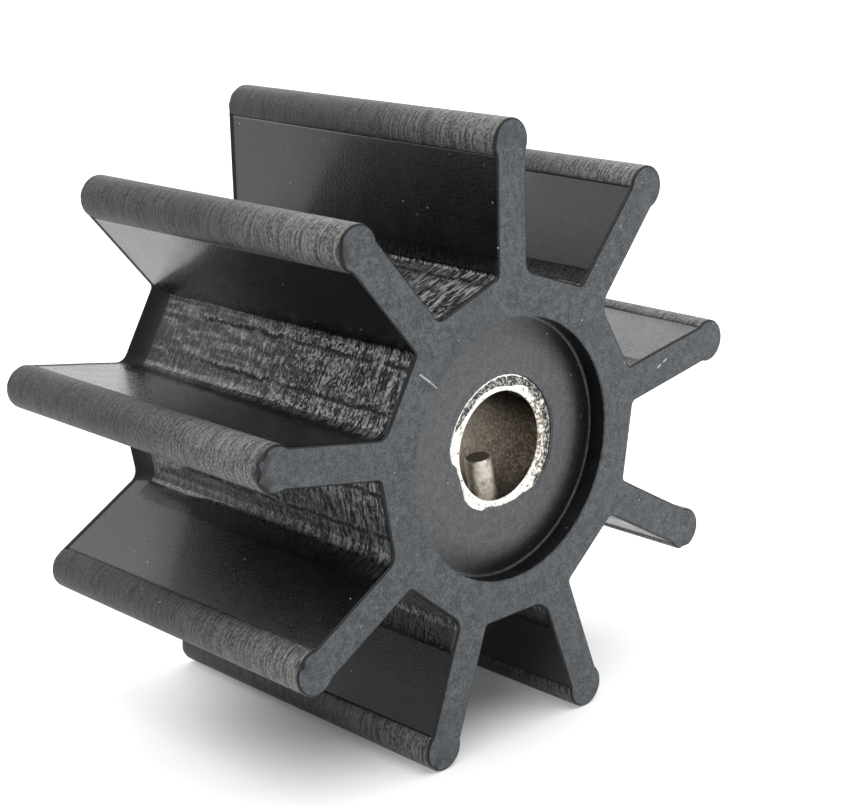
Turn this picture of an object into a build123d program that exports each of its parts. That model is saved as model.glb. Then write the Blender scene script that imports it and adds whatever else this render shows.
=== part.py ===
from build123d import *

import os
from math import cos, radians, sin, sqrt, tan

# Flexible rubber pump impeller: nine vanes moulded on a metal bush with a drive pin.
#
# The impeller lies on two vane tips, as it would on a bench.  Its axis is the Y axis.  The
# origin is on the axis at the back face, where the pump shaft enters, and the recessed
# front face looks along -Y.  Distances along the axis are measured forward from the back
# face, which is along the normal of Plane.XZ.  All sizes are in millimetres.

# Hub and vanes
vane_count = 9
tip_diameter = 75.0
length = 46.0
hub_flat_distance = 19.8
web_thickness = 4.5
bead_diameter = 5.2
clockwise_root_radius = 2.2
anticlockwise_root_radius = 0.6
edge_break = 0.3

# Shape along the axis: the mould's draft, and the flare round the ends of its cores
draft_angle = 0.25
flare_length = 3.0
hub_flare_height = 1.0
web_flare_height = 0.12
flare_steps = 2

# Round recess in the front face
recess_diameter = 30.5
recess_depth = 2.4
recess_rim_bevel = 0.3

# Metal bush that takes the pump shaft on two lands, with a shallow groove round it that
# keys it into the rubber
shaft_bore_diameter = 12.7
bush_wall = 2.25
bush_end_chamfer = 0.3
bore_edge_chamfer = 0.1
front_land_length = 15.0
back_land_length = 20.0
bore_relief_depth = 0.4
groove_width = 12.0
groove_depth = 0.5

# Drive pin, a dowel that stands in the bore and enters the slot in the shaft's end
pin_diameter = 3.175
pin_length = 7.94
pin_tip_from_axis = 2.3
pin_behind_front_face = 6.35
pin_clocking = 170.8
pin_end_chamfer = 0.2

pitch_angle = 360 / vane_count
half_pitch = radians(pitch_angle / 2)
tip_radius = tip_diameter / 2
bead_radius = bead_diameter / 2
bead_circle_radius = tip_radius - bead_radius
recess_radius = recess_diameter / 2
bore_radius = shaft_bore_diameter / 2
bush_radius = bore_radius + bush_wall
bush_length = length - recess_depth


def root_fillet(half_web, flat_distance, radius):
    """Fillet between a vane's flank and the hub's flat: its flank end, middle and flat end.

    The vane stands up along the sketch's Y, and the fillet is on its +X side.
    """
    corner_height = (flat_distance - half_web * sin(half_pitch)) / cos(half_pitch)
    tangent_length = radius / tan((radians(90) + half_pitch) / 2)
    centre_distance = sqrt(radius**2 + tangent_length**2)
    flank_end = (half_web, corner_height + tangent_length)
    middle = (
        half_web + radius - radius**2 / centre_distance,
        corner_height + tangent_length - radius * tangent_length / centre_distance,
    )
    flat_end = (
        half_web + tangent_length * cos(half_pitch),
        corner_height - tangent_length * sin(half_pitch),
    )
    return flank_end, middle, flat_end


def mirrored(points):
    """The same points on the vane's -X side, in the opposite order."""
    return [(-across, up) for across, up in reversed(points)]


def vane_outline(distance, flare):
    """Outline of the upright vane and of the hub's flat on its clockwise side.

    The flare is 0 along the straight part of the mould's cores and 1 at the back face.
    """
    draft = (length - distance) * tan(radians(draft_angle))
    flat_distance = hub_flat_distance + draft + flare * hub_flare_height
    half_web = web_thickness / 2 + draft + flare * web_flare_height
    bead_foot_height = bead_circle_radius - sqrt(bead_radius**2 - half_web**2)
    bead = [(-half_web, bead_foot_height), (0, tip_radius), (half_web, bead_foot_height)]
    clockwise_root = root_fillet(half_web, flat_distance, clockwise_root_radius)
    near_root = mirrored(root_fillet(half_web, flat_distance, anticlockwise_root_radius))
    next_root_end = Vector(*near_root[0]).rotate(Axis.Z, -pitch_angle)
    with BuildLine() as outline:
        ThreePointArc(*near_root)
        Line(near_root[-1], bead[0])
        ThreePointArc(*bead)
        Line(bead[-1], clockwise_root[0])
        ThreePointArc(*clockwise_root)
        Line(clockwise_root[-1], next_root_end)
    return outline.line


# Drive pin: a dowel across the bush wall, pointing at the axis
clocking = radians(pin_clocking)
pin_plane = Plane(
    origin=(0, pin_behind_front_face - length, 0),
    z_dir=(sin(clocking), 0, cos(clocking)),
)
with BuildPart() as drive_pin:
    with BuildSketch(pin_plane.offset(pin_tip_from_axis)):
        Circle(pin_diameter / 2)
    extrude(amount=pin_length)
    chamfer(drive_pin.edges().filter_by(GeomType.CIRCLE), pin_end_chamfer)

# Bush: a tube with its bore relieved between two lands, a keying groove outside and a hole
# that the pin is pressed through
relief_length = bush_length - front_land_length - back_land_length
with BuildPart() as hub_bush:
    with BuildSketch(Plane.XZ):
        Circle(bush_radius)
        Circle(bore_radius, mode=Mode.SUBTRACT)
    extrude(amount=bush_length)
    bore_edges = hub_bush.edges().filter_by(GeomType.CIRCLE).sort_by(SortBy.RADIUS)[:2]
    chamfer(bore_edges, bore_edge_chamfer)
    outer_edges = hub_bush.edges().filter_by(GeomType.CIRCLE).sort_by(SortBy.RADIUS)[-2:]
    chamfer(outer_edges, bush_end_chamfer)
    with BuildSketch(Plane.XZ.offset(back_land_length)):
        Circle(bore_radius + bore_relief_depth)
    extrude(amount=relief_length, mode=Mode.SUBTRACT)
    with BuildSketch(Plane.XZ.offset((bush_length - groove_width) / 2)):
        Circle(bush_radius)
        Circle(bush_radius - groove_depth, mode=Mode.SUBTRACT)
    extrude(amount=groove_width, mode=Mode.SUBTRACT)
    add(drive_pin.part, mode=Mode.SUBTRACT)

# Rubber moulding: hub and vanes, flared at the back, moulded round the bush and the pin
stations = [(length, 0), (flare_length, 0)]
for step in range(1, flare_steps + 1):
    share = step / flare_steps
    stations.append((flare_length * (1 - share), share**2))
with BuildPart() as rubber_body:
    for distance, flare in stations:
        with BuildSketch(Plane.XZ.offset(distance)):
            with BuildLine():
                with PolarLocations(0, vane_count):
                    add(vane_outline(distance, flare))
            make_face()
    loft(ruled=True)
    front_face = rubber_body.faces().sort_by(Axis.Y)[0]
    chamfer(front_face.edges(), edge_break)
    with BuildSketch(Plane.XZ.offset(bush_length)):
        Circle(recess_radius)
    extrude(amount=recess_depth, mode=Mode.SUBTRACT)
    recess_wall = rubber_body.faces().filter_by(GeomType.CYLINDER).sort_by(SortBy.RADIUS)[-1]
    recess_rim = recess_wall.edges().filter_by(GeomType.CIRCLE).sort_by(Axis.Y)[0]
    chamfer(recess_rim, recess_rim_bevel)
    with BuildSketch(Plane.XZ):
        Circle(bore_radius + bush_wall / 2)
    extrude(amount=bush_length, mode=Mode.SUBTRACT)
    add(hub_bush.part, mode=Mode.SUBTRACT)
    add(drive_pin.part, mode=Mode.SUBTRACT)

os.makedirs("parts", exist_ok=True)
rubber_body.part.label = "rubber_body"
export_step(rubber_body.part, "parts/rubber_body.step")
hub_bush.part.label = "hub_bush"
export_step(hub_bush.part, "parts/hub_bush.step")
drive_pin.part.label = "drive_pin"
export_step(drive_pin.part, "parts/drive_pin.step")
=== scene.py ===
import math

import bpy
import numpy as np
from mathutils import Matrix, Vector, geometry, noise


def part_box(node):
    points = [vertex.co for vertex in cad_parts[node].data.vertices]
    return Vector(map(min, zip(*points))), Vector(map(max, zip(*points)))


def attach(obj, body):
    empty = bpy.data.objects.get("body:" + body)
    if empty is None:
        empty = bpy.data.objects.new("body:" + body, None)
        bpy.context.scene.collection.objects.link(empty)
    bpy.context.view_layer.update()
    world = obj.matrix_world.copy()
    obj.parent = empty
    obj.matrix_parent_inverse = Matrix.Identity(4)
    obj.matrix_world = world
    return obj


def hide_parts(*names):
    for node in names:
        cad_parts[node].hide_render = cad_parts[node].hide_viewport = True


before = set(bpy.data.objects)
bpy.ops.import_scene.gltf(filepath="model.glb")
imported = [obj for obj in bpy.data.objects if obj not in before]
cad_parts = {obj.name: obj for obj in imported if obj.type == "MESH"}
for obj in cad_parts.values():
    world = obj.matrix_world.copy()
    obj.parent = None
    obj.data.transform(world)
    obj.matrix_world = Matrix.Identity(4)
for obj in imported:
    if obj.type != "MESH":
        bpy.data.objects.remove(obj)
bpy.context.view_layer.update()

scene = bpy.context.scene
MM = 0.001

# ---------------------------------------------------------------- sizes from the frame, in metres
# The shaft's axis is Y: the back face is at 0 and the front face, with the recess, at -LENGTH
rubber_low, rubber_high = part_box("rubber_body")
bush_low, bush_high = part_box("hub_bush")
TIP_RADIUS = rubber_high[2]
LENGTH = -rubber_low[1]
FLOOR_HEIGHT = rubber_low[2]
BUSH_RADIUS = bush_high[0]
BUSH_FACE = bush_low[1]
RECESS_DEPTH = LENGTH + BUSH_FACE

# ---------------------------------------------------------------- the moulding, as in the CAD model
VANE_COUNT = 9
PITCH = 2 * math.pi / VANE_COUNT
# The hub's flats, from the axis, and half a vane's thickness: both at the front face, as the draft
# and the flares add to them towards the back
HUB_FLAT = 19.8 * MM
HALF_WEB = 2.25 * MM
BEAD_RADIUS = 2.6 * MM
# The mould's cores don't match exactly: each vane's clockwise root has its own radius.
# Vanes are counted clockwise from the top one, which is 0
CLOCKWISE_ROOTS = tuple(radius * MM for radius in (1.5, 2.2, 0.7, 0.9, 2.6, 1.5, 1.5, 1.5, 1.1))
ANTICLOCKWISE_ROOT = 0.6 * MM
DRAFT = math.tan(math.radians(0.25))
FLARE_LENGTH = 3.0 * MM
HUB_FLARE = 1.0 * MM
WEB_FLARE_LENGTH = 0.9 * MM
WEB_FLARE = 0.13 * MM
# How far from the back face the vanes' edges get the dull black back-end material, painted shade
BACK_BAND = 0.85 * MM
RECESS_RADIUS = 15.25 * MM
RECESS_RIM = 0.18 * MM
RECESS_FOOT = 0.14 * MM
EDGE_ROUND = 0.24 * MM
# The end faces: a margin inside their edges, and then triangles on a grid of this spacing
FACE_MARGIN = 0.35 * MM
FACE_GRID = 1.0 * MM
# In millimetres, as the triangles are made in these
WELD_DISTANCE = 1e-5
SHARP_DEGREES = 33

# The groove left where each ground bead meets its vane
FOOT_GROOVE_DEPTH = 0.1 * MM
FOOT_GROOVE_HALF = 0.14 * MM
# It fades in between these distances from either end face
FOOT_GROOVE_START, FOOT_GROOVE_FULL = 0.1 * MM, 0.5 * MM

# Points along one pitch of the outline
FLANK_STEPS, BEAD_STEPS, FLAT_STEPS = 14, 33, 44
CLOCKWISE_ROOT_STEPS, ANTICLOCKWISE_ROOT_STEPS = 9, 5
# Rings of points along the sides, and bands across each rounded edge
NEAR_BACK_RINGS, MIDDLE_RINGS, NEAR_FRONT_RINGS = 10, 48, 8
NEAR_FRONT_LENGTH = 2.0 * MM
EDGE_STEPS = 4
# Points round the recess, rings on its rim and on its foot, and rings along its floor
RECESS_STEPS = 324
RECESS_ARC_STEPS = 5
RECESS_FLOOR_RINGS = 8


# ---------------------------------------------------------------- outline of hub and vanes
def turned(points, angle):
    """Points of the X-Z plane turned clockwise by an angle, seen from the front."""
    turn = np.array([[math.cos(angle), math.sin(angle)], [-math.sin(angle), math.cos(angle)]])
    return points @ turn.T


def step(value, low, high):
    """0 at low, 1 at high, smooth in between and level beyond them; low may be the greater of the two."""
    share = np.clip((value - low) / (high - low), 0, 1)
    return share * share * (3 - 2 * share)


def arc(centre, radius, angles):
    """Points on an arc at the given angles."""
    return np.stack([centre[0] + radius * np.cos(angles), centre[1] + radius * np.sin(angles)], 1)


def straight(start, end, count):
    """Evenly spaced points from start up to, but without, the end."""
    share = np.linspace(0, 1, count, endpoint=False)[:, None]
    return (1 - share) * np.array(start) + share * np.array(end)


def root_arc(half_web, flat, radius, count):
    """The fillet at the foot of the upright vane's +X flank, from the flank to the hub's flat."""
    half_pitch = PITCH / 2
    corner = (flat - half_web * math.sin(half_pitch)) / math.cos(half_pitch)
    tangent = radius / math.tan((math.pi / 2 + half_pitch) / 2)
    centre = (half_web + radius, corner + tangent)
    return arc(centre, radius, np.linspace(math.pi, 1.5 * math.pi - half_pitch, count))


def one_vane(distance, clockwise_root):
    """The outline of the upright vane and the hub's flat beside it, at a distance from the back face."""
    hub_flare = max(1 - distance / FLARE_LENGTH, 0) ** 2
    web_flare = max(1 - distance / WEB_FLARE_LENGTH, 0) ** 2
    draft = (LENGTH - distance) * DRAFT
    flat = HUB_FLAT + draft + hub_flare * HUB_FLARE
    half_web = HALF_WEB + draft + web_flare * WEB_FLARE
    foot = math.asin(half_web / BEAD_RADIUS)
    groove_turn = FOOT_GROOVE_HALF / BEAD_RADIUS
    first, last = 1.5 * math.pi - foot - groove_turn, foot - 0.5 * math.pi + groove_turn
    bead = arc((0, TIP_RADIUS - BEAD_RADIUS), BEAD_RADIUS, np.linspace(first, last, BEAD_STEPS))
    foot_height = TIP_RADIUS - BEAD_RADIUS - BEAD_RADIUS * math.cos(foot)
    groove_shown = step(min(distance, LENGTH - distance), FOOT_GROOVE_START, FOOT_GROOVE_FULL)
    groove_depth = FOOT_GROOVE_DEPTH * groove_shown
    groove_bottom = np.array([half_web - groove_depth, foot_height])
    groove_edge = np.array([half_web, foot_height - FOOT_GROOVE_HALF])
    below_groove = groove_edge - [0, FOOT_GROOVE_HALF]
    clockwise = root_arc(half_web, flat, clockwise_root, CLOCKWISE_ROOT_STEPS)
    anticlockwise = root_arc(half_web, flat, ANTICLOCKWISE_ROOT, ANTICLOCKWISE_ROOT_STEPS)[::-1] * [-1, 1]
    next_root = turned(anticlockwise[:1], PITCH)[0]
    return np.concatenate([
        anticlockwise[:-1],
        straight(anticlockwise[-1], below_groove * [-1, 1], FLANK_STEPS),
        [below_groove * [-1, 1], groove_edge * [-1, 1], groove_bottom * [-1, 1]],
        bead,
        [groove_bottom, groove_edge],
        straight(below_groove, clockwise[0], FLANK_STEPS),
        clockwise[:-1],
        straight(clockwise[-1], next_root, FLAT_STEPS),
    ])


def outline(distance):
    """The closed outline at a distance from the back face, clockwise from one vane to the next."""
    return np.concatenate([
        turned(one_vane(distance, root), vane * PITCH) for vane, root in enumerate(CLOCKWISE_ROOTS)])


# What each point of the outline belongs to
FLANK, BEAD, HUB = range(3)
PITCH_ZONES = np.concatenate([
    np.full(ANTICLOCKWISE_ROOT_STEPS - 1, HUB),
    np.full(FLANK_STEPS + 2, FLANK),
    np.full(BEAD_STEPS + 1, BEAD),
    np.full(FLANK_STEPS + 2, FLANK),
    np.full(CLOCKWISE_ROOT_STEPS - 1, HUB),
    np.full(FLAT_STEPS, HUB),
])
ZONES = np.tile(PITCH_ZONES, VANE_COUNT)
VANES = np.arange(len(ZONES)) // len(PITCH_ZONES)
ZONES_BEFORE = np.roll(ZONES, 1)
GROOVE_POINTS = (ZONES_BEFORE == FLANK) & (ZONES == BEAD) | (ZONES_BEFORE == BEAD) & (ZONES == FLANK)


def into_rubber(points):
    """Unit vectors across a closed clockwise outline, pointing into the rubber."""
    before = points - np.roll(points, 1, 0)
    after = np.roll(points, -1, 0) - points
    before /= np.linalg.norm(before, axis=1)[:, None]
    after /= np.linalg.norm(after, axis=1)[:, None]
    along = before + after
    along /= np.linalg.norm(along, axis=1)[:, None]
    return np.stack([along[:, 1], -along[:, 0]], 1)


# ---------------------------------------------------------------- uneven surface of the moulding
def softened(values, reach):
    """A closed row of values averaged over its neighbours."""
    return sum(np.roll(values, shift) for shift in range(-reach, reach + 1)) / (2 * reach + 1)


# How far each point has the hub's grain, the vanes' waves and the beads' torn ends
ROUGH_SHARE = softened((ZONES == HUB).astype(float), 2)
WEB_SHARE = softened((ZONES == FLANK).astype(float), 1)
BEAD_SHARE = softened((ZONES == BEAD).astype(float), 1)
MIDDLE = outline(LENGTH / 2)
CLOCKWISE_TURN = np.arctan2(MIDDLE[:, 0], MIDDLE[:, 1]) % (2 * math.pi)
# How far each point is along its hub flat, in millimetres clockwise from the flat's middle
ACROSS_FLAT = HUB_FLAT / MM * np.tan(CLOCKWISE_TURN % PITCH - PITCH / 2)
# How far each point has turned round its bead, in degrees clockwise from the tip
BEAD_TURN = np.degrees(np.concatenate([
    np.arctan2(*(turned(MIDDLE[VANES == vane], -vane * PITCH) - [0, TIP_RADIUS - BEAD_RADIUS]).T)
    for vane in range(VANE_COUNT)]))

# The hub is smooth this far from the back face, and its grain ends within this of the front face
SMOOTH_BACK = 3.0 * MM
SMOOTH_FRONT = 0.5 * MM
# Past the smooth part, the relief and the material's grain fade in over these lengths
GRAIN_FADE = 0.8 * MM
ROUGH_FADE = 0.5 * MM
GRAIN_HEIGHT = 0.05 * MM
FINE_GRAIN_SHARE = 0.6
WAVE_HEIGHT = 0.03 * MM
BEAD_WAVE_SHARE = 0.3
TORN_HEIGHT = 0.1 * MM
TORN_LENGTH, TORN_FULL_LENGTH = 0.9 * MM, 0.1 * MM
# Noise features per metre, along X, Y and Z where these differ
WAVE_SCALE = 140
GRAIN_SCALE = np.array([900, 420, 900])
FINE_GRAIN_SCALE = np.array([1900, 900, 1900])
TORN_SCALE = 1500
# Worn crescents at the beads' front edges: vane, middle and half width in degrees round the bead,
# depth and length in millimetres
CRESCENTS = (
    (8, -52, 34, 0.3, 0.5), (7, -8, 16, 0.5, 0.8), (7, -52, 20, 0.3, 0.5), (7, 38, 14, 0.4, 0.6),
    (0, -72, 22, 0.12, 0.25), (6, 62, 12, 0.4, 1.0), (5, 20, 12, 0.22, 0.5), (3, 55, 14, 0.25, 0.5))
# The depth, in millimetres, at which a worn place is fully dark
WORN_DARK_DEPTH = 0.25


def field(places, scale, seed):
    """Smooth noise at rows of places, about -1 to 1, with this many features per unit of the places."""
    offset = Vector((seed * 17.3, seed * 5.1, seed * 9.7))
    return np.array([noise.noise(Vector(place) + offset) for place in (places * scale).tolist()])


def unevenness(places, distance):
    """How far one ring of places stands out: waves on the vanes, grain on the hub, torn and worn bead ends."""
    height = WAVE_HEIGHT * field(places, WAVE_SCALE, 1) * (WEB_SHARE + BEAD_WAVE_SHARE * BEAD_SHARE)
    grain = field(places, GRAIN_SCALE, 2) + FINE_GRAIN_SHARE * field(places, FINE_GRAIN_SCALE, 3)
    fade = step(distance, SMOOTH_BACK, SMOOTH_BACK + GRAIN_FADE) * step(LENGTH - distance, 0, SMOOTH_FRONT)
    height += fade * GRAIN_HEIGHT * ROUGH_SHARE * grain
    torn = step(distance, TORN_LENGTH, TORN_FULL_LENGTH) * TORN_HEIGHT * BEAD_SHARE
    height -= torn * np.abs(field(places, TORN_SCALE, 4))
    return height - worn(distance) * MM


def worn(distance):
    """How deep the beads are worn away, in millimetres, at a distance from the back face."""
    depth = np.zeros(len(ZONES))
    for vane, middle, half, deepest, length in CRESCENTS:
        on_bead = (VANES == vane) * (ZONES == BEAD)
        across = np.sqrt(np.clip(1 - ((BEAD_TURN - middle) / half) ** 2, 0, 1) * on_bead)
        depth = np.maximum(depth, deepest * across * step(distance, LENGTH - length * MM, LENGTH))
    return depth


def ring(distance, inset=0.0):
    """One ring of mesh points round the moulding, inset into the rubber."""
    points = outline(distance)
    inward = into_rubber(points)
    places = np.stack([points[:, 0], np.full(len(points), -distance), points[:, 1]], 1)
    out = unevenness(places, distance) - inset
    points = points - inward * out[:, None]
    return np.stack([points[:, 0], places[:, 1], points[:, 1]], 1)


def side_rings():
    """Rings from the flat of the back face, over both rounded edges, to the flat of the front face."""
    turns = np.linspace(0, math.pi / 2, EDGE_STEPS + 1)
    first, last = EDGE_ROUND, LENGTH - EDGE_ROUND
    back = [ring(0, EDGE_ROUND + FACE_MARGIN)]
    back += [ring(EDGE_ROUND * (1 - math.sin(t)), EDGE_ROUND * (1 - math.cos(t))) for t in turns[::-1]]
    distances = np.concatenate([
        np.linspace(first, FLARE_LENGTH, NEAR_BACK_RINGS + 1)[1:],
        np.linspace(FLARE_LENGTH, last - NEAR_FRONT_LENGTH, MIDDLE_RINGS + 1)[1:],
        np.linspace(last - NEAR_FRONT_LENGTH, last, NEAR_FRONT_RINGS + 1)[1:-1]])
    sides = [ring(distance) for distance in distances]
    front = [ring(last + EDGE_ROUND * math.sin(t), EDGE_ROUND * (1 - math.cos(t))) for t in turns]
    front += [ring(LENGTH, EDGE_ROUND + FACE_MARGIN)]
    return back + sides + front


def circle_ring(radius, distance):
    """A ring of mesh points on a circle about the shaft axis."""
    angles = np.linspace(0, 2 * math.pi, RECESS_STEPS, endpoint=False)
    heights = np.full(RECESS_STEPS, -distance)
    return np.stack([radius * np.sin(angles), heights, radius * np.cos(angles)], 1)


def recess_rings():
    """Rings from the front face's flat into the recess and along its floor to the bush."""
    turns = np.linspace(0, math.pi / 2, RECESS_ARC_STEPS)
    floor = LENGTH - RECESS_DEPTH
    rim = [(RECESS_RADIUS + RECESS_RIM * (1 - math.sin(t)), LENGTH - RECESS_RIM * (1 - math.cos(t)))
           for t in turns]
    foot = [(RECESS_RADIUS - RECESS_FOOT * (1 - math.cos(t)), floor + RECESS_FOOT * (1 - math.sin(t)))
            for t in turns]
    radii = np.linspace(RECESS_RADIUS - RECESS_FOOT, BUSH_RADIUS, RECESS_FLOOR_RINGS + 1)[1:]
    flat = [(radius, floor) for radius in radii]
    profile = [(RECESS_RADIUS + RECESS_RIM + FACE_MARGIN, LENGTH)] + rim + foot + flat
    return [circle_ring(radius, distance) for radius, distance in profile]


def inside(points, loop):
    """Which points of the X-Z plane lie inside a closed loop."""
    start, end = loop, np.roll(loop, -1, 0)
    x, z = points[:, :1], points[:, 1:]
    crosses = (start[:, 1] > z) != (end[:, 1] > z)
    rise = np.where(end[:, 1] == start[:, 1], 1, end[:, 1] - start[:, 1])
    at = start[:, 0] + (z - start[:, 1]) / rise * (end[:, 0] - start[:, 0])
    return (np.sum(crosses & (x < at), 1) % 2) == 1


def face_points(outer, inner_radius, height):
    """A triangular grid of points over a flat end face, clear of its two edges."""
    steps = np.arange(-TIP_RADIUS, TIP_RADIUS, FACE_GRID)
    across, up = np.meshgrid(steps, steps * math.sqrt(0.75))
    across = across + (np.arange(len(steps))[:, None] % 2) * FACE_GRID / 2
    grid = np.stack([across.ravel(), up.ravel()], 1)
    grid = grid[inside(grid, outer)]
    grid = grid[np.hypot(grid[:, 0], grid[:, 1]) > inner_radius + FACE_GRID / 2]
    gaps = np.linalg.norm(grid[:, None] - outer[None], axis=2).min(1)
    grid = grid[gaps > FACE_GRID / 2]
    return np.stack([grid[:, 0], np.full(len(grid), height), grid[:, 1]], 1)


class MeshParts:
    """Vertices and faces gathered for one mesh, each face with a material number."""

    def __init__(self):
        self.points, self.faces, self.materials, self.count = [], [], [], 0

    def add(self, points):
        """Adds points and gives their numbers."""
        self.points.append(points)
        self.count += len(points)
        return np.arange(self.count - len(points), self.count)

    def band(self, first, second, materials):
        """Quads between two rings of the same length; materials is one number or one each."""
        after_first, after_second = np.roll(first, -1), np.roll(second, -1)
        self.faces += np.stack([first, after_first, after_second, second], 1).tolist()
        self.materials += np.broadcast_to(materials, len(first)).tolist()

    def flat_face(self, outer, inner, extra, material, flip):
        """Triangles over the flat region between an outer and an inner ring."""
        numbers = np.concatenate([outer, inner, extra])
        places = np.concatenate(self.points)[numbers][:, [0, 2]] / MM
        edges = []
        for start, loop in ((0, outer), (len(outer), inner)):
            along = np.arange(start, start + len(loop))
            edges += np.stack([along, np.roll(along, -1)], 1).tolist()
        corners_2d = [Vector(place) for place in places]
        _, _, triangles, sources, *_ = geometry.delaunay_2d_cdt(corners_2d, edges, [], 1, WELD_DISTANCE)
        hole = set(inner.tolist())
        for triangle in triangles:
            corners = [int(numbers[sources[corner][0]]) for corner in triangle]
            if not hole.issuperset(corners):
                self.faces.append(corners[::-1] if flip else corners)
                self.materials.append(material)

    def build(self, name):
        """The finished mesh object, smooth but for its sharp edges."""
        mesh = bpy.data.meshes.new(name)
        mesh.from_pydata(np.concatenate(self.points), [], self.faces)
        mesh.polygons.foreach_set("material_index", self.materials)
        mesh.polygons.foreach_set("use_smooth", [True] * len(self.faces))
        mesh.update()
        mesh.set_sharp_from_angle(angle=math.radians(SHARP_DEGREES))
        made = bpy.data.objects.new(name, mesh)
        scene.collection.objects.link(made)
        return made


def set_share(made, name, values):
    """Stores a number at the mesh's first vertices, and 0 at the others, for the materials to read."""
    stored = np.zeros(len(made.data.vertices), np.float32)
    stored[:len(values)] = values
    made.data.attributes.new(name, "FLOAT", "POINT").data.foreach_set("value", stored)


# Material numbers of the moulding
CUT_FACE, GROUND_BEAD, MOULDED, BUSH_SEAT, RECESS_FLOOR, SHADED_BACK_EDGE = range(6)


def add_sides(parts):
    """The rounded edges, flanks, beads and hub flats; gives each ring's vertex numbers and its distance."""
    side = side_rings()
    distances = [-points[0, 1] for points in side]
    rings = [parts.add(points) for points in side]
    zone_material = np.where(ZONES == BEAD, GROUND_BEAD, MOULDED)
    last_band = len(rings) - 2
    for band, (first, second) in enumerate(zip(rings[:-1], rings[1:])):
        if band in (0, last_band):
            parts.band(first, second, CUT_FACE)
            continue
        between_edges = EDGE_STEPS < band < last_band - EDGE_STEPS
        distance = distances[band + 1]
        # The hub's flare and the vanes' back edges get painted shade: a dull, black material
        dull = (ZONES == HUB) & (distance <= FLARE_LENGTH) | (ZONES == FLANK) & (distance < BACK_BAND)
        parts.band(first, second, np.where(dull, SHADED_BACK_EDGE, zone_material if between_edges else MOULDED))
    return rings, distances


def add_recess(parts):
    """The recess and the bush's seat; gives the vertex numbers of the first ring, and of the last one."""
    recess = [parts.add(points) for points in recess_rings()]
    for band, (first, second) in enumerate(zip(recess[:-1], recess[1:])):
        on_wall = band == RECESS_ARC_STEPS
        on_floor = band >= 2 * RECESS_ARC_STEPS
        parts.band(first, second, MOULDED if on_wall else RECESS_FLOOR if on_floor else CUT_FACE)
    seat_distances = (LENGTH - RECESS_DEPTH - MM, MM, 0)
    seat = [parts.add(circle_ring(BUSH_RADIUS, distance)) for distance in seat_distances]
    back_margin = parts.add(circle_ring(BUSH_RADIUS + FACE_MARGIN, 0))
    for first, second in zip([recess[-1]] + seat, seat + [back_margin]):
        parts.band(first, second, BUSH_SEAT)
    return recess[0], back_margin


def moulding():
    """The rubber hub and vanes as one closed mesh."""
    parts = MeshParts()
    rings, distances = add_sides(parts)
    front_hole, back_hole = add_recess(parts)
    so_far = np.concatenate(parts.points)
    for loop, hole, height, flip in ((rings[-1], front_hole, -LENGTH, False), (rings[0], back_hole, 0, True)):
        outer = so_far[loop][:, [0, 2]]
        radius = np.hypot(*so_far[hole[0]][[0, 2]])
        extra = parts.add(face_points(outer, radius, height))
        parts.flat_face(loop, hole, extra, CUT_FACE, flip)
    made = parts.build("rubber_moulding")
    set_share(made, "rough", np.concatenate([
        ROUGH_SHARE * step(distance, SMOOTH_BACK, SMOOTH_BACK + ROUGH_FADE)
        * step(LENGTH - distance, EDGE_ROUND, SMOOTH_FRONT) for distance in distances]))
    set_share(made, "across", np.tile(ACROSS_FLAT, len(rings)))
    set_share(made, "groove", np.tile(GROOVE_POINTS, len(rings)))
    set_share(made, "torn", np.clip(
        np.concatenate([worn(distance) for distance in distances]) / WORN_DARK_DEPTH, 0, 1))
    return made


rubber = moulding()
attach(rubber, "root")
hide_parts("rubber_body")

# ---------------------------------------------------------------- rubber film and smears on the bush's face
# Where the rubber's thin film stops on the bush: (degrees clockwise from the top, radius in mm)
FILM_EDGE = (
    (0, 8.2), (30, 8.4), (60, 8.5), (118, 8.5), (134, 8.35), (143, 8.0), (150, 7.5), (165, 7.25),
    (185, 7.1), (196, 7.05), (203, 7.6), (213, 7.75), (228, 7.65), (238, 7.1), (248, 6.85), (262, 6.95),
    (268, 7.6), (278, 7.95), (315, 8.0), (340, 8.05))
# Where the dark smear on the bush's face begins: (degrees clockwise from the top, radius in mm)
SMEAR_START = (
    (0, 6.95), (18, 6.95), (30, 7.35), (38, 7.55), (46, 7.2), (58, 7.35), (62, 8.6), (66, 7.4), (92, 7.55),
    (96, 7.7), (118, 7.7), (121, 8.6), (129, 7.7), (137, 7.8), (140, 8.6), (288, 8.6), (296, 7.5),
    (306, 7.1), (320, 6.9), (334, 7.1), (350, 7.0))
FILM_STEPS = 1080
FILM_DEGREES = np.linspace(0, 360, FILM_STEPS, endpoint=False)
FILM_TURNS = np.radians(FILM_DEGREES)
FILM_OVERLAP = 0.3 * MM
# How far the two sheets stand out from the bush's face, and how far they reach into it
FILM_RISE, FILM_SUNK = 0.09 * MM, 0.02 * MM
SMEAR_RISE, SMEAR_SUNK = 0.03 * MM, 0.01 * MM
# The line of bare metal between the film and the smear
BARE_LINE = 0.17 * MM
# How far each edge wanders
FILM_RAGGED, SMEAR_RAGGED, BARE_RAGGED = 0.07 * MM, 0.09 * MM, 0.03 * MM


def reach(table):
    """The radius, in metres, that a table of (degrees, mm) gives all round the bush."""
    angles, radii = zip(*table)
    return np.interp(FILM_DEGREES, angles, radii, period=360) * MM


def ragged(size, seed):
    """A ragged edge's offset all round the bush, in metres."""
    places = np.stack([np.sin(FILM_TURNS), np.cos(FILM_TURNS), 0 * FILM_TURNS], 1)
    return size * (field(places, 14, seed) + 0.7 * field(places, 40, seed + 1)
                   + 0.4 * field(places, 90, seed + 2))


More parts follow.
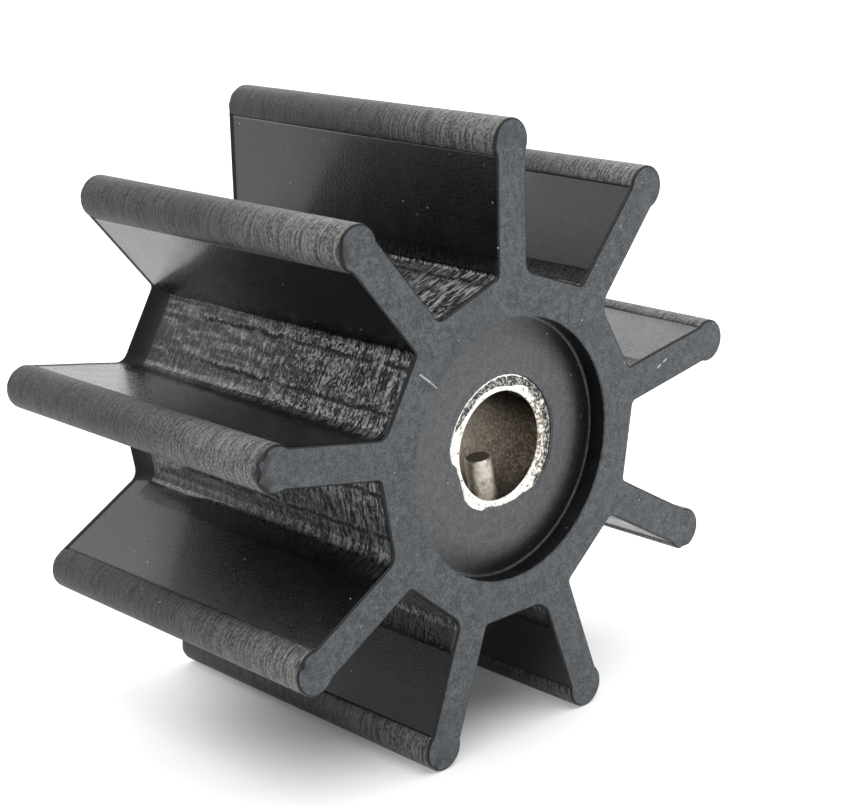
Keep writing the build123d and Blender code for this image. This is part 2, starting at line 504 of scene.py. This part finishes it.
def polar_sheet(name, profile):
    """A thin closed sheet round the axis from a list of (radii, distances in front of the bush's face)."""
    parts = MeshParts()
    rings = []
    for radii, rise in profile:
        heights = np.full(FILM_STEPS, BUSH_FACE) - rise
        rings.append(parts.add(np.stack([radii * np.sin(FILM_TURNS), heights, radii * np.cos(FILM_TURNS)], 1)))
    for first, second in zip(rings, rings[1:] + rings[:1]):
        parts.band(first, second, 0)
    made = parts.build(name)
    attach(made, "root")
    return made


film_edge = reach(FILM_EDGE) + ragged(FILM_RAGGED, 21)
film_outer = np.full(FILM_STEPS, BUSH_RADIUS + FILM_OVERLAP)
film = polar_sheet("bush_flash_film", [
    (film_outer, 0.0),
    ((film_outer * 2 + film_edge) / 3, FILM_RISE * 0.5),
    ((film_outer + film_edge * 2) / 3, FILM_RISE * 0.9),
    (film_edge + 0.12 * MM, FILM_RISE),
    (film_edge + 0.03 * MM, FILM_RISE * 0.8),
    (film_edge, FILM_RISE * 0.4),
    (film_edge, -FILM_SUNK),
    (film_outer, -FILM_SUNK)])
smear_start = reach(SMEAR_START) + ragged(SMEAR_RAGGED, 31)
smear_end = film_edge - BARE_LINE + ragged(BARE_RAGGED, 41)
smear_start = np.minimum(smear_start, smear_end)
smear = polar_sheet("bush_smear", [
    (smear_end, 0.0),
    (smear_end * 0.8 + smear_start * 0.2, SMEAR_RISE),
    ((smear_end + smear_start) / 2, SMEAR_RISE),
    (smear_end * 0.2 + smear_start * 0.8, SMEAR_RISE),
    (smear_start, 0.0),
    (smear_start, -SMEAR_SUNK),
    (smear_end, -SMEAR_SUNK)])


# ---------------------------------------------------------------- materials
class Shader:
    """A node tree under construction; its methods give the socket that they make."""

    def __init__(self, owner):
        owner.use_nodes = True
        self.tree = owner.node_tree
        self.tree.nodes.clear()

    def fill(self, socket, value):
        """Links an input to another node's socket, or sets its value."""
        if isinstance(value, bpy.types.NodeSocket):
            self.tree.links.new(value, socket)
        else:
            socket.default_value = value

    def node(self, kind, inputs=None, **settings):
        made = self.tree.nodes.new(kind)
        for name, value in settings.items():
            setattr(made, name, value)
        for name, value in (inputs or {}).items():
            self.fill(made.inputs[name], value)
        return made

    def place(self, scale=(1, 1, 1)):
        """The place on the object in millimetres, times a scale."""
        where = self.node("ShaderNodeTexCoord").outputs["Object"]
        return self.vector("MULTIPLY", where, tuple(factor / MM for factor in scale))

    def axes(self):
        """The place in millimetres as X, Y and Z; Y goes from 0 at the back face down to -46 at the front."""
        return self.node("ShaderNodeSeparateXYZ", {"Vector": self.place()}).outputs

    def noise(self, scale, places=(1, 1, 1), detail=2.0, roughness=0.5, distortion=0.0):
        """Noise, about 0.3 to 0.7, with this many features a millimetre."""
        return self.node("ShaderNodeTexNoise", {
            "Vector": self.place(places), "Scale": scale, "Detail": detail,
            "Roughness": roughness, "Distortion": distortion}).outputs["Fac"]

    def math(self, operation, first, second=0.0):
        return self.node("ShaderNodeMath", {0: first, 1: second}, operation=operation).outputs[0]

    def times(self, first, second):
        return self.math("MULTIPLY", first, second)

    def plus(self, first, second):
        return self.math("ADD", first, second)

    def minus(self, first, second):
        return self.math("SUBTRACT", first, second)

    def larger(self, first, second):
        return self.math("MAXIMUM", first, second)

    def blend(self, first, second, share):
        """The first number times its share, plus the second times the rest."""
        return self.plus(self.times(first, share), self.times(second, 1 - share))

    def vector(self, operation, first, second):
        """A vector made from two others."""
        return self.node("ShaderNodeVectorMath", {0: first, 1: second}, operation=operation).outputs[0]

    def measure(self, operation, first, second=(0, 0, 0)):
        """A number made from vectors: their DOT_PRODUCT or DISTANCE, or the first one's LENGTH."""
        made = self.node("ShaderNodeVectorMath", {0: first, 1: second}, operation=operation)
        return made.outputs["Value"]

    def remap(self, value, low, high, start=0.0, end=1.0):
        """Maps low..high to start..end, smoothly and clamped."""
        return self.node("ShaderNodeMapRange", {
            "Value": value, "From Min": low, "From Max": high, "To Min": start, "To Max": end},
            interpolation_type="SMOOTHSTEP").outputs[0]

    def mix(self, share, first, second):
        """A colour between two colours."""
        made = self.node("ShaderNodeMix", {"Factor": share}, data_type="RGBA")
        made.clamp_factor = True
        for socket, value in zip([entry for entry in made.inputs if entry.type == "RGBA"], (first, second)):
            self.fill(socket, (*value, 1) if isinstance(value, tuple) else value)
        return [entry for entry in made.outputs if entry.type == "RGBA"][0]

    def share(self, name):
        """A number stored at the vertices."""
        return self.node("ShaderNodeAttribute", attribute_name=name).outputs["Fac"]

    def specks(self, per_mm, radius, kept):
        """1 on small round specks: cells a millimetre, radius in cells, and the share of cells kept."""
        cells = self.node("ShaderNodeTexVoronoi", {
            "Vector": self.place(), "Scale": per_mm, "Randomness": 1.0}).outputs
        near = self.remap(cells["Distance"], radius, radius * 0.6)
        chance = self.node("ShaderNodeSeparateColor", {"Color": cells["Color"]}).outputs[0]
        return self.times(near, self.math("GREATER_THAN", chance, 1 - kept))

    def mark(self, start, end, half_width):
        """1 on a straight mark between two places (X, Z) of an end face, all in millimetres."""
        run = Vector((end[0] - start[0], 0, end[1] - start[1]))
        unit = tuple(run.normalized())
        from_start = self.vector("SUBTRACT", self.place((1, 0, 1)), (start[0], 0, start[1]))
        along = self.larger(self.measure("DOT_PRODUCT", from_start, unit), 0.0)
        along = self.math("MINIMUM", along, run.length)
        nearest = self.node("ShaderNodeVectorMath", {0: unit, "Scale": along}, operation="SCALE").outputs[0]
        away = self.measure("DISTANCE", from_start, nearest)
        return self.remap(away, half_width * 1.4, half_width * 0.6)

    def bump(self, height, depth, normal=None):
        """A bump of this depth in millimetres."""
        inputs = {"Height": height, "Distance": depth * MM, "Strength": 1.0}
        if normal is not None:
            inputs["Normal"] = normal
        return self.node("ShaderNodeBump", inputs).outputs[0]

    def background_rays(self):
        """1 for the camera's rays and for those of reflections and glass, which show the same background."""
        rays = self.node("ShaderNodeLightPath").outputs
        mirrored = self.larger(rays["Is Glossy Ray"], rays["Is Transmission Ray"])
        return self.larger(rays["Is Camera Ray"], mirrored)

    def surface(self, **inputs):
        """The finished surface; its inputs are named as the shader's sockets, with _ for a space."""
        named = {name.replace("_", " "): value for name, value in inputs.items()}
        made = self.node("ShaderNodeBsdfPrincipled", named)
        self.node("ShaderNodeOutputMaterial", {"Surface": made.outputs[0]})


def new_material(name):
    material = bpy.data.materials.new(name)
    return material, Shader(material)


# Linear colours; a pair is the dark and the light end of a pattern
CUT_GRAIN = ((0.002, 0.004, 0.006), (0.115, 0.141, 0.163))
CUT_CLOUD = (0.06, 0.075, 0.087)
CUT_WORN = (0.004, 0.004, 0.005)
FACE_DUST = (0.7, 0.7, 0.68)
RECESS_GRAIN = ((0.002, 0.003, 0.004), (0.09, 0.097, 0.103))
RECESS_LINE_HIGHLIGHT = (0.4, 0.41, 0.41)
SHADE_BLACK = (0.001, 0.001, 0.002)
BEAD_GRAIN = ((0.004, 0.004, 0.003), (0.076, 0.075, 0.071))
BEAD_FRONT_LIT_GRAIN = ((0.03, 0.03, 0.028), (0.28, 0.28, 0.27))
BEAD_WIDE = (0.05, 0.05, 0.048)
BEAD_WORN_AND_GROOVE_SHADE = (0.004, 0.004, 0.004)
DULL_DUST = (0.6, 0.6, 0.58)
VANE_GRAIN = ((0.002, 0.002, 0.003), (0.006, 0.006, 0.0065))
VANE_LEATHER = (0.016, 0.016, 0.017)
HUB_GRAIN_AND_VALLEY_SHADE = ((0.001, 0.002, 0.003), (0.1, 0.105, 0.105))
HUB_STREAK_HIGHLIGHT = (0.46, 0.465, 0.465)
HUB_LIP_HIGHLIGHT = (0.2, 0.2, 0.2)
FOOT_GROOVE_SHADE = (0.002, 0.002, 0.003)
BRIGHT_DUST = (0.8, 0.8, 0.78)
SHADED_BACK_EDGE_GRAIN = ((0.002, 0.002, 0.002), (0.008, 0.008, 0.009))
SMEAR_GRAIN = ((0.012, 0.012, 0.012), (0.66, 0.64, 0.58))
SEAT_GRAIN = ((0.03, 0.03, 0.03), (0.07, 0.07, 0.07))
BORE_GRAIN = ((0.46, 0.44, 0.405), (0.7, 0.675, 0.635))
BORE_CLOUD = (0.52, 0.49, 0.45)
BORE_SHADE = (0.2, 0.17, 0.14)
BUSH_FACE_GRAIN = ((0.8, 0.77, 0.69), (0.98, 0.97, 0.93))
BUSH_FLECK = (0.22, 0.18, 0.135)
PIN_GRAIN = ((0.46, 0.415, 0.345), (0.76, 0.72, 0.64))
PIN_SPOT = (0.3, 0.25, 0.2)
PIN_END_SHADE = (0.16, 0.14, 0.12)

# Pale marks on the front face: start and end (X, Z) and half width, in millimetres
SCRATCHES = (
    ((-14.3, 11.8), (-12.9, 10.7), 0.1), ((-12.9, 10.7), (-11.9, 9.8), 0.06),
    ((24.8, 4.6), (25.2, 4.8), 0.13), ((25.9, 5.1), (26.3, 5.3), 0.12),
    ((-10.2, 17.9), (-6.7, 20.2), 0.03), ((18.6, 6.2), (20.1, 9.4), 0.03))
# The way across the recess, in (X, Y, Z), in which the painted shade at its floor's edge is darkest
RECESS_SHADE_SIDE = (0.88, 0, -0.47)
# The painted highlight, a pale line, at the foot of the recess wall: how far in from the foot's rounding, in
# millimetres
RECESS_LINE_PLACE = 0.06
# The two broken creases along each hub flat: millimetres clockwise from its middle, and how far
# each unit of slow and of fast noise moves them
CREASE_PLACES = (-2.1, 3.0)
CREASE_WANDER, CREASE_JAG = 1.2, 1.4
# How far in from the bush's face its rubbed brightness starts and is full
BRIGHT_START, BRIGHT_FULL = 0.12 * MM, 0.04 * MM
# The way the pin's end faces, across the bore: the pin stands this far clockwise from the top
PIN_TURN = math.radians(170.8)
PIN_END = (-math.sin(PIN_TURN), 0, -math.cos(PIN_TURN))


def end_face_pattern(shader):
    """What the cut faces and the recess floor have alike: clouds, fine grain, speckle and specks of dust."""
    clouds = shader.noise(0.22, detail=4.0, roughness=0.6)
    mottle = shader.noise(1.1, detail=5.0, roughness=0.8)
    grain = shader.noise(4.2, detail=3.0, roughness=0.8)
    speckle = shader.remap(shader.blend(mottle, grain, 0.5), 0.42, 0.58)
    dust = shader.larger(shader.specks(0.5, 0.06, 0.4), shader.specks(1.3, 0.1, 0.12))
    return clouds, grain, speckle, dust


def cut_face_material():
    """The flat ends of the moulding: slate grey rubber with pale dust, and scratches on the front one."""
    material, shader = new_material("rubber_cut_face")
    clouds, grain, speckle, dust = end_face_pattern(shader)
    base = shader.mix(speckle, *CUT_GRAIN)
    base = shader.mix(shader.remap(clouds, 0.35, 0.7, 0, 0.45), base, CUT_CLOUD)
    base = shader.mix(shader.share("torn"), base, CUT_WORN)
    front = shader.math("LESS_THAN", shader.axes()["Y"], -LENGTH / MM / 2)
    for scratch in SCRATCHES:
        dust = shader.larger(dust, shader.times(front, shader.mark(*scratch)))
    base = shader.mix(dust, base, FACE_DUST)
    shader.surface(Base_Color=base, Roughness=shader.remap(clouds, 0.3, 0.7, 0.36, 0.44),
                   Normal=shader.bump(grain, 0.3), IOR=1.6)
    return material


def recess_floor_material():
    """The recess floor: polished rubber with painted shade that turns it black towards the wall on one side,
    and a painted highlight as a pale line at its foot.
    """
    material, shader = new_material("rubber_recess_floor")
    clouds, grain, speckle, dust = end_face_pattern(shader)
    flat = shader.place((1, 0, 1))
    from_axis = shader.measure("LENGTH", flat)
    wall = RECESS_RADIUS / MM
    # Painted shade: black towards the wall on its right and lower side, with the coat taken off there
    dark = shader.times(shader.remap(from_axis, wall - 4.2, wall - 0.6),
                        shader.remap(shader.measure("DOT_PRODUCT", flat, RECESS_SHADE_SIDE), -9.0, 7.0))
    # Painted highlight: a pale line round the foot of the wall
    line = shader.minus(from_axis, wall - RECESS_FOOT / MM - RECESS_LINE_PLACE)
    line = shader.remap(shader.math("ABSOLUTE", line), 0.09, 0.03)
    line = shader.times(line, shader.remap(clouds, 0.36, 0.6, 0.15, 0.7))
    base = shader.mix(speckle, *RECESS_GRAIN)
    base = shader.mix(dark, base, SHADE_BLACK)
    base = shader.mix(line, base, RECESS_LINE_HIGHLIGHT)
    base = shader.mix(dust, base, FACE_DUST)
    shader.surface(Base_Color=base, Roughness=shader.remap(clouds, 0.3, 0.7, 0.26, 0.34),
                   Normal=shader.bump(grain, 0.3), IOR=1.3,
                   Coat_Weight=shader.minus(1.0, dark), Coat_Roughness=0.32, Coat_IOR=1.58)
    return material


def bead_material():
    """The ground tip beads: warm grey, with fine grinding lines round them, and painted light that makes them
    paler near the front.
    """
    material, shader = new_material("rubber_ground_bead")
    lines = shader.noise(1.0, places=(0.3, 5.5, 0.3), detail=3.0, roughness=0.8, distortion=0.2)
    wide = shader.noise(1.0, places=(0.12, 1.1, 0.12), detail=2.0)
    grain = shader.noise(3.2, detail=2.0, roughness=0.6)
    fine = shader.remap(shader.blend(lines, grain, 0.65), 0.44, 0.57)
    base = shader.mix(fine, *BEAD_GRAIN)
    base = shader.mix(shader.remap(wide, 0.4, 0.62, 0, 0.6), base, BEAD_WIDE)
    # Painted light: paler towards the front end
    near_front = shader.remap(shader.axes()["Y"], -20.0, -46.0, 0, 0.85)
    base = shader.mix(near_front, base, shader.mix(fine, *BEAD_FRONT_LIT_GRAIN))
    # Darker where the bead is worn, by its depth, and painted shade in the groove at its foot
    base = shader.mix(shader.larger(shader.share("torn"), shader.share("groove")), base, BEAD_WORN_AND_GROOVE_SHADE)
    base = shader.mix(shader.specks(0.6, 0.06, 0.3), base, DULL_DUST)
    normal = shader.bump(lines, 0.16, shader.bump(wide, 0.12))
    shader.surface(Base_Color=base, Roughness=0.5, Normal=normal, IOR=1.42)
    return material


def crease_shares(shader, rough, grain, y):
    """Shares of the creases along the hub's flats, painted dark as shade, and of the lips beside them, painted
    paler as a highlight.
    """
    wander = shader.noise(1.0, places=(0.02, 0.3, 0.02), detail=4.0, roughness=0.75)
    gaps = shader.noise(1.0, places=(0.15, 0.45, 0.15), detail=2.0)
    across = shader.plus(shader.share("across"), shader.times(shader.minus(wander, 0.5), CREASE_WANDER))
    across = shader.plus(across, shader.times(shader.minus(grain, 0.5), CREASE_JAG))
    creases, lips = 0.0, 0.0
    for place in CREASE_PLACES:
        away = shader.math("ABSOLUTE", shader.minus(across, place))
        creases = shader.larger(creases, shader.remap(away, 0.3, 0.14))
        lips = shader.larger(lips, shader.remap(away, 0.7, 0.3))
    shown = shader.times(shader.remap(gaps, 0.36, 0.46), shader.remap(y, -7.0, -12.0))
    shown = shader.times(shown, rough)
    return shader.times(creases, shown), shader.times(lips, shown)


def moulded_material():
    """The mould's own skin: smooth and black on the vanes, leathery and creased on the hub."""
    material, shader = new_material("rubber_moulded")
    rough = shader.share("rough")
    grain = shader.noise(1.0, places=(2.3, 3.3, 2.3), detail=2.0, roughness=0.6, distortion=0.5)
    wrinkles = shader.noise(1.0, places=(0.4, 2.0, 0.4), detail=3.0, roughness=0.65, distortion=0.8)
    leather = shader.noise(1.0, places=(5.0, 3.0, 5.0), detail=3.0, roughness=0.65)
    clouds = shader.noise(0.3, detail=3.0)
    where = shader.axes()
    creases, lips = crease_shares(shader, rough, grain, where["Y"])

    vane = shader.mix(shader.remap(clouds, 0.35, 0.65), *VANE_GRAIN)
    vane = shader.mix(shader.remap(leather, 0.5, 0.7, 0, 0.5), vane, VANE_LEATHER)
    # The hub's grain: its own tone, with painted shade in the valleys and paler ridges
    ridges = shader.remap(shader.blend(grain, wrinkles, 0.55), 0.48, 0.56)
    hub = shader.mix(ridges, *HUB_GRAIN_AND_VALLEY_SHADE)
    # Painted highlight: pale streaks on the wrinkles near the front end, most of all on the upper flats
    streak_highlight = shader.times(shader.remap(where["Y"], -31.0, -42.0), shader.remap(where["Z"], 11.0, 17.0, 0.4, 1.0))
    hub = shader.mix(shader.times(shader.remap(wrinkles, 0.5, 0.57), streak_highlight), hub, HUB_STREAK_HIGHLIGHT)
    # Painted highlight on the lips beside the creases, and painted shade in the creases
    hub = shader.mix(shader.times(lips, 0.5), hub, HUB_LIP_HIGHLIGHT)
    hub = shader.mix(creases, hub, SHADE_BLACK)
    base = shader.mix(shader.remap(rough, 0.4, 0.9), vane, hub)
    # Painted shade in the groove at each bead's foot
    base = shader.mix(shader.share("groove"), base, FOOT_GROOVE_SHADE)
    base = shader.mix(shader.specks(0.5, 0.05, 0.3), base, BRIGHT_DUST)

    folds = shader.times(wrinkles, shader.remap(where["Y"], -24.0, -42.0, 0.6, 1.5))
    deep = shader.plus(shader.times(grain, 0.55), folds)
    deep = shader.minus(deep, shader.times(creases, 0.45))
    height = shader.plus(shader.times(leather, 0.07), shader.times(deep, rough))
    dull = shader.plus(shader.remap(clouds, 0.3, 0.7, 0.2, 0.28), shader.times(rough, 0.06))
    # Painted sheen: the vanes' coat grows towards the back end, and the hub's is on its ridges
    painted_sheen = shader.larger(shader.remap(where["Y"], -34.0, -12.0, 0, 0.5),
                           shader.times(shader.remap(rough, 0.3, 0.9), ridges))
    painted_sheen = shader.times(painted_sheen, shader.minus(1.0, creases))
    shader.surface(Base_Color=base, Roughness=dull, Normal=shader.bump(height, 1.0), IOR=1.37,
                   Coat_Weight=painted_sheen, Coat_Roughness=0.14, Coat_IOR=1.5)
    return material


def shaded_back_edge_material():
    """The flare and the vanes' edges at the back end: the same rubber, made dull and black as painted shade."""
    material, shader = new_material("rubber_shaded_back_edge")
    grain = shader.noise(2.5, detail=3.0, roughness=0.65)
    base = shader.mix(shader.remap(grain, 0.35, 0.65), *SHADED_BACK_EDGE_GRAIN)
    base = shader.mix(shader.specks(0.5, 0.05, 0.2), base, DULL_DUST)
    shader.surface(Base_Color=base, Roughness=0.55, Normal=shader.bump(grain, 0.08), IOR=1.3)
    return material


def smear_material():
    """The dark smear on the bush's face, rubbed through to the metal in specks."""
    material, shader = new_material("rubber_smear")
    grain = shader.noise(2.7, detail=3.0, roughness=0.8)
    base = shader.mix(shader.remap(grain, 0.49, 0.56), *SMEAR_GRAIN)
    shader.surface(Base_Color=base, Roughness=0.55, Normal=shader.bump(grain, 0.08))
    return material


def seat_material():
    """The rubber's seat round the bush, which nothing shows."""
    material, shader = new_material("rubber_seat")
    base = shader.mix(shader.noise(2.0, detail=2.0), *SEAT_GRAIN)
    shader.surface(Base_Color=base, Roughness=0.8)
    return material


def bush_material():
    """The bush: dull taupe metal in the bore, rubbed bright on its front face."""
    material, shader = new_material("bush_metal")
    where = shader.axes()
    grain = shader.noise(2.6, detail=3.0, roughness=0.7)
    clouds = shader.noise(0.4, detail=3.0)
    bore = shader.mix(shader.remap(grain, 0.35, 0.65), *BORE_GRAIN)
    bore = shader.mix(shader.remap(clouds, 0.4, 0.7, 0, 0.4), bore, BORE_CLOUD)
    # Painted shade on the bore's right, near the front
    bore_shade_mask = shader.times(shader.remap(where["Y"], -30.0, -42.0), shader.remap(where["X"], 0.0, 5.0))
    bore_shade_mask = shader.times(bore_shade_mask, shader.remap(grain, 0.62, 0.42, 0.3, 1.0))
    bore = shader.mix(bore_shade_mask, bore, BORE_SHADE)
    bright = shader.mix(shader.remap(grain, 0.3, 0.6), *BUSH_FACE_GRAIN)
    # Dark flecks on the face, more of them on the right
    flecks = shader.plus(shader.noise(1.9, detail=4.0, roughness=0.8),
                         shader.remap(where["X"], 3.0, 7.0, 0, 0.13))
    bright = shader.mix(shader.remap(flecks, 0.58, 0.62), bright, BUSH_FLECK)
    on_face = shader.remap(where["Y"], (BUSH_FACE + BRIGHT_START) / MM, (BUSH_FACE + BRIGHT_FULL) / MM)
    base = shader.mix(on_face, bore, bright)
    dull = shader.plus(shader.remap(clouds, 0.3, 0.7, 0.2, 0.28), shader.times(on_face, 0.2))
    shader.surface(Base_Color=base, Roughness=dull, Metallic=1.0, Normal=shader.bump(grain, 0.04))
    return material


def pin_material():
    """The drive pin: worn steel with darker spots, and painted shade that darkens its end."""
    material, shader = new_material("pin_metal")
    grain = shader.noise(2.5, detail=3.0, roughness=0.65)
    spots = shader.noise(0.9, detail=2.0)
    base = shader.mix(shader.remap(grain, 0.3, 0.7), *PIN_GRAIN)
    base = shader.mix(shader.remap(spots, 0.52, 0.66, 0, 0.7), base, PIN_SPOT)
    # Painted shade on the pin's end face
    facing = shader.measure("DOT_PRODUCT", shader.node("ShaderNodeTexCoord").outputs["Normal"], PIN_END)
    base = shader.mix(shader.remap(facing, 0.86, 0.95), base, PIN_END_SHADE)
    shader.surface(Base_Color=base, Roughness=0.4, Metallic=0.7, Normal=shader.bump(grain, 0.1))
    return material


cut_face = cut_face_material()
recess_floor = recess_floor_material()
# In the order of the moulding's material numbers
for made in (cut_face, bead_material(), moulded_material(), seat_material(), recess_floor,
             shaded_back_edge_material()):
    rubber.data.materials.append(made)
film.data.materials.append(recess_floor)
smear.data.materials.append(smear_material())
for node, made in (("hub_bush", bush_material()), ("drive_pin", pin_material())):
    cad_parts[node].data.materials.clear()
    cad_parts[node].data.materials.append(made)


# ---------------------------------------------------------------- camera
# Matched to the photograph: angles in radians, the rest in its pixels or in metres
CAMERA_TURN = 0.755852
CAMERA_TILT = 0.286405
CAMERA_ROLL = -0.0231346
CAMERA_DISTANCE = 223.522 * MM
IMAGE_WIDTH = 860
FOCAL_PIXELS = 1984.82
HUB_RIGHT_PIXELS = 84.89
HUB_UP_PIXELS = -45.281
SENSOR_WIDTH = 36.0
CLIP_START, CLIP_END = 0.01, 20


def make_camera():
    """The photograph's camera, which looks at the hub's front face from its left and from above."""
    forward = Vector((math.sin(CAMERA_TURN) * math.cos(CAMERA_TILT),
                      math.cos(CAMERA_TURN) * math.cos(CAMERA_TILT), -math.sin(CAMERA_TILT)))
    level = Vector((math.cos(CAMERA_TURN), -math.sin(CAMERA_TURN), 0))
    raised = level.cross(forward)
    right = math.cos(CAMERA_ROLL) * level + math.sin(CAMERA_ROLL) * raised
    up = math.cos(CAMERA_ROLL) * raised - math.sin(CAMERA_ROLL) * level
    per_pixel = CAMERA_DISTANCE / FOCAL_PIXELS
    place = (Vector((0, -LENGTH, 0)) - CAMERA_DISTANCE * forward
             - HUB_RIGHT_PIXELS * per_pixel * right - HUB_UP_PIXELS * per_pixel * up)
    data = bpy.data.cameras.new("camera")
    data.sensor_fit = "HORIZONTAL"
    data.sensor_width = SENSOR_WIDTH
    data.lens = FOCAL_PIXELS / IMAGE_WIDTH * SENSOR_WIDTH
    data.clip_start, data.clip_end = CLIP_START, CLIP_END
    camera = bpy.data.objects.new("camera", data)
    turn = Matrix((right, up, -forward)).transposed()
    camera.matrix_world = Matrix.Translation(place) @ turn.to_4x4()
    scene.collection.objects.link(camera)
    scene.camera = camera


make_camera()

# ---------------------------------------------------------------- floor, world and lights
FLOOR_HALF = 3.0
FLOOR_COLOUR = 0.85
FLOOR_GLOW = 0.38
# The glow rises from this share of itself to all of it between these distances from the impeller's middle, in
# millimetres: a painted shadow near the impeller, so that the shadow under it keeps its depth
GLOW_LEAST = 0.2
GLOW_START, GLOW_FULL = 12.0, 30.0
# The way towards the brighter half of the surroundings, and the colour of the other half
BRIGHT_SIDE = (0.62, 0.66, 0.42)
BRIGHT_LEAN = 0.75
DARK_SIDE_COLOUR = (0.05, 0.062, 0.072)
WHITE = (1.0, 1.0, 1.0)
# Square lamps that point at the impeller: name, place and side in metres, watts
LAMPS = (
    ("top_softbox", (-0.1, -0.3, 0.95), 0.8, 5.4),
    ("left_softbox", (-0.35, 0.7, 0.62), 0.5, 2.2),
    ("back_softbox", (0.66, 0.68, 0.58), 0.76, 3.0),
    ("side_softbox", (0.8, -0.75, 0.25), 0.7, 1.25))


def make_floor():
    """A plain pale floor that glows a little where it is seen, so that it runs into the white background, and
    glows less near the impeller, a painted shadow.
    """
    mesh = bpy.data.meshes.new("studio_floor")
    corners = [(-1, -1), (1, -1), (1, 1), (-1, 1)]
    mesh.from_pydata([(x * FLOOR_HALF, y * FLOOR_HALF, FLOOR_HEIGHT) for x, y in corners], [], [(0, 1, 2, 3)])
    made = bpy.data.objects.new("studio_floor", mesh)
    scene.collection.objects.link(made)
    material, shader = new_material("studio_floor")
    away = shader.measure("DISTANCE", shader.place((1, 1, 0)), (0, -LENGTH / MM / 2, 0))
    seen = shader.times(shader.background_rays(), shader.remap(away, GLOW_START, GLOW_FULL, GLOW_LEAST, 1.0))
    lit = shader.node("ShaderNodeBsdfDiffuse", {"Color": (FLOOR_COLOUR, FLOOR_COLOUR, FLOOR_COLOUR, 1)})
    glow = shader.node("ShaderNodeEmission", {"Color": (*WHITE, 1), "Strength": shader.times(seen, FLOOR_GLOW)})
    surface = shader.node("ShaderNodeAddShader", {0: lit.outputs[0], 1: glow.outputs[0]})
    shader.node("ShaderNodeOutputMaterial", {"Surface": surface.outputs[0]})
    mesh.materials.append(material)


def make_world():
    """Surroundings that are seen and mirrored as white, and light the object mostly from behind it."""
    world = bpy.data.worlds.new("studio")
    scene.world = world
    shader = Shader(world)
    where = shader.node("ShaderNodeTexCoord").outputs["Generated"]
    level = shader.remap(shader.measure("DOT_PRODUCT", where, BRIGHT_SIDE), -BRIGHT_LEAN, BRIGHT_LEAN)
    level = shader.larger(level, shader.background_rays())
    colour = shader.mix(level, DARK_SIDE_COLOUR, WHITE)
    surface = shader.node("ShaderNodeBackground", {"Color": colour, "Strength": 1.0})
    shader.node("ShaderNodeOutputWorld", {"Surface": surface.outputs[0]})


def add_lamp(name, place, size, watts):
    data = bpy.data.lights.new(name, "AREA")
    data.shape = "SQUARE"
    data.size = size
    data.energy = watts
    lamp = bpy.data.objects.new(name, data)
    lamp.location = place
    lamp.rotation_euler = (-Vector(place)).to_track_quat("-Z", "Y").to_euler()
    scene.collection.objects.link(lamp)


make_floor()
make_world()
for settings in LAMPS:
    add_lamp(*settings)
scene.view_settings.view_transform = "Standard"
